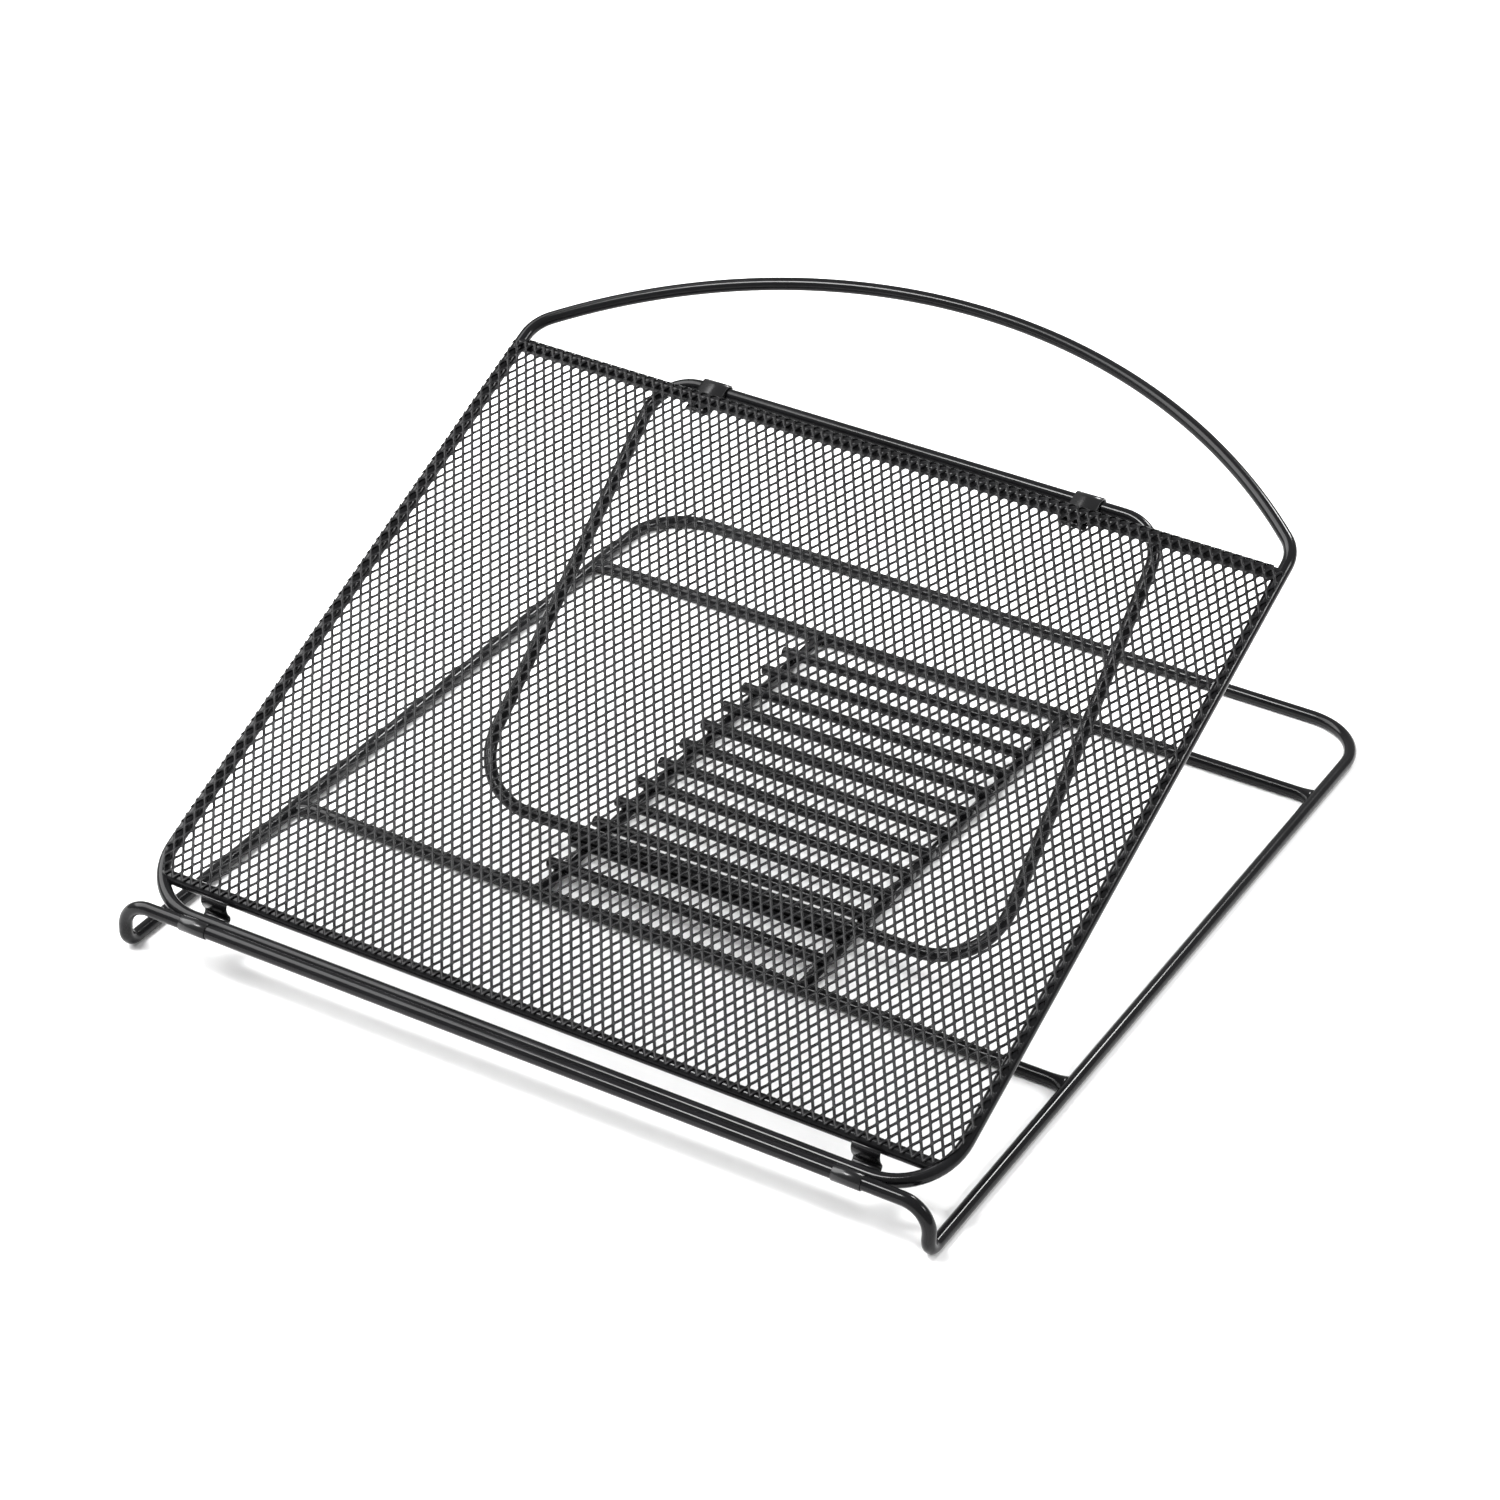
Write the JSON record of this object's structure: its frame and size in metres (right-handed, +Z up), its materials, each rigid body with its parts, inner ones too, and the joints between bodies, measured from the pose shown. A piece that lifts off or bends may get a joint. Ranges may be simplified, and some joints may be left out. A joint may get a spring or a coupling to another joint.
{
  "type": "book display stand",
  "caption": "Folding desk stand of bent wire: a mesh platform with an arched handle tilts on a flat base and is propped by a hinged leg that drops into a ladder rack.",
  "frame": {"origin": "middle of the base footprint on the table top", "axes": "+X to the right of someone facing the front edge, +Y from the front rail to the rear, +Z up"},
  "size_m": [0.3108, 0.3605, 0.1567],
  "materials": {
    "coated_wire": "satin black coating on steel wire",
    "coated_sheet": "satin black coating on rolled steel sheet",
    "coated_mesh": "satin black coating on expanded steel mesh"
  },
  "bodies": {
    "base": {"base_frame": "coated_wire", "rear_cross_bar": "coated_wire", "front_cross_bar": "coated_wire", "rack_rail_left": "coated_wire", "rack_rail_right": "coated_wire", "rung_01": "coated_wire", "rung_02": "coated_wire", "rung_03": "coated_wire", "rung_04": "coated_wire", "rung_05": "coated_wire", "rung_06": "coated_wire", "rung_07": "coated_wire", "rung_08": "coated_wire", "rung_09": "coated_wire", "rung_10": "coated_wire", "rung_11": "coated_wire", "rung_12": "coated_wire", "hinge_clip_left": "coated_sheet", "hinge_clip_right": "coated_sheet"},
    "platform": {"platform_frame": "coated_wire", "top_bar": "coated_wire", "bottom_bar": "coated_wire", "mesh_panel": "coated_mesh", "leg_clip_left": "coated_sheet", "leg_clip_right": "coated_sheet"},
    "leg": {"leg_loop": "coated_wire"}
  },
  "joints": [
    {"name": "platform_tilt", "type": "hinge", "parent": "base", "child": "platform", "pos_m": [0, -0.17205, 0.0189], "axis": [1, 0, 0], "range_deg": [-24, 11]},
    {"name": "leg_fold", "type": "hinge", "parent": "platform", "child": "leg", "pos_m": [0.004, 0.07716, 0.12373], "axis": [1, 0, 0], "range_deg": [-19, 8.7]}
  ],
  "couplings": [
    {"joint": "leg_fold", "follows": "platform_tilt", "ratio": 0.79}
  ]
}
